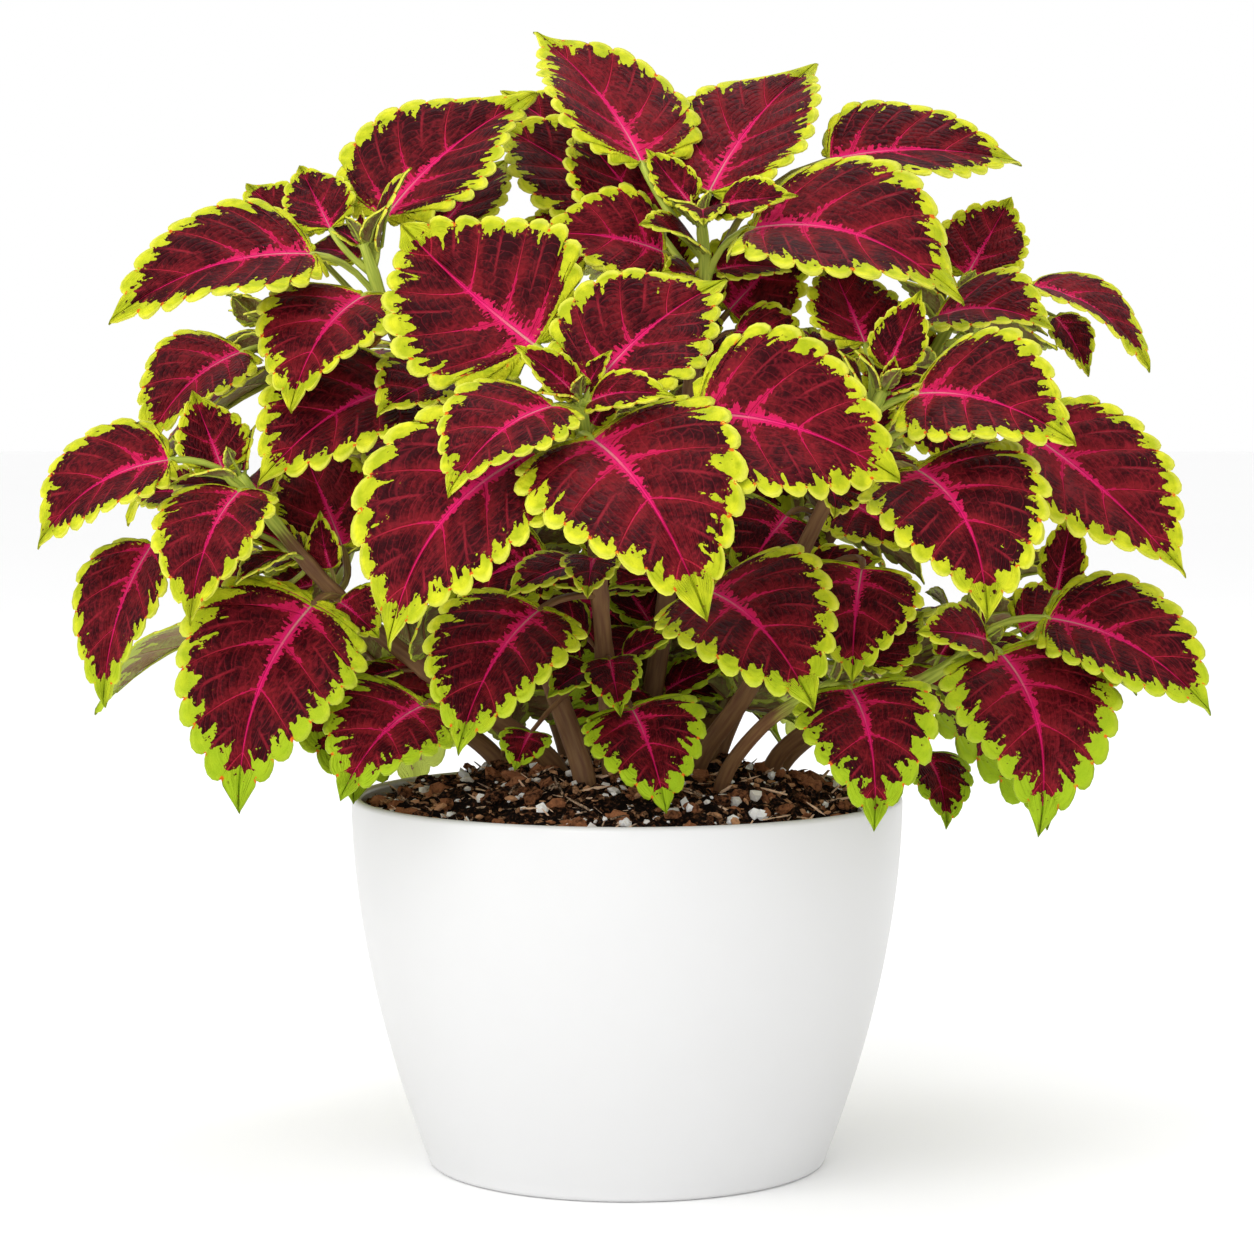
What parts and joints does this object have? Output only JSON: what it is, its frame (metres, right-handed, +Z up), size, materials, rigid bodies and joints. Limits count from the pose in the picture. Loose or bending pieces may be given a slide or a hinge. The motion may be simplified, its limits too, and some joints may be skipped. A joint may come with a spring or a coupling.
{
  "type": "coleus",
  "caption": "Bushy potted coleus with burgundy and lime scalloped leaves on square stems, in a round, curved white pot filled with potting soil.",
  "frame": {"origin": "middle of the pot's flat base, on the surface that it stands on", "axes": "+Z up along the pot's axis, +X to the right and -Y towards the viewer, as the picture shows the plant"},
  "size_m": [0.3062, 0.2731, 0.3093],
  "materials": {
    "pot": "smooth satin white",
    "soil": "dark crumbly potting soil",
    "shoot_crown": "burgundy leaf, lime margin",
    "shoot_front": "burgundy leaf, lime margin",
    "shoot_upper_left": "burgundy leaf, lime margin",
    "shoot_left": "burgundy leaf, lime margin",
    "shoot_right": "burgundy leaf, lime margin",
    "shoot_right_back": "burgundy leaf, lime margin",
    "shoot_low_right": "burgundy leaf, lime margin",
    "shoot_low_front": "burgundy leaf, lime margin",
    "shoot_left_back": "burgundy leaf, lime margin",
    "shoot_back_left": "burgundy leaf, lime margin",
    "shoot_back": "burgundy leaf, lime margin",
    "shoot_back_right": "burgundy leaf, lime margin",
    "shoot_low_back_left": "burgundy leaf, lime margin",
    "shoot_low_back": "burgundy leaf, lime margin",
    "shoot_low_back_right": "burgundy leaf, lime margin"
  },
  "bodies": {
    "root": {"pot": "pot", "soil": "soil", "shoot_crown": "shoot_crown", "shoot_front": "shoot_front", "shoot_upper_left": "shoot_upper_left", "shoot_left": "shoot_left", "shoot_right": "shoot_right", "shoot_right_back": "shoot_right_back", "shoot_low_right": "shoot_low_right", "shoot_low_front": "shoot_low_front", "shoot_left_back": "shoot_left_back", "shoot_back_left": "shoot_back_left", "shoot_back": "shoot_back", "shoot_back_right": "shoot_back_right", "shoot_low_back_left": "shoot_low_back_left", "shoot_low_back": "shoot_low_back", "shoot_low_back_right": "shoot_low_back_right"}
  },
  "joints": []
}
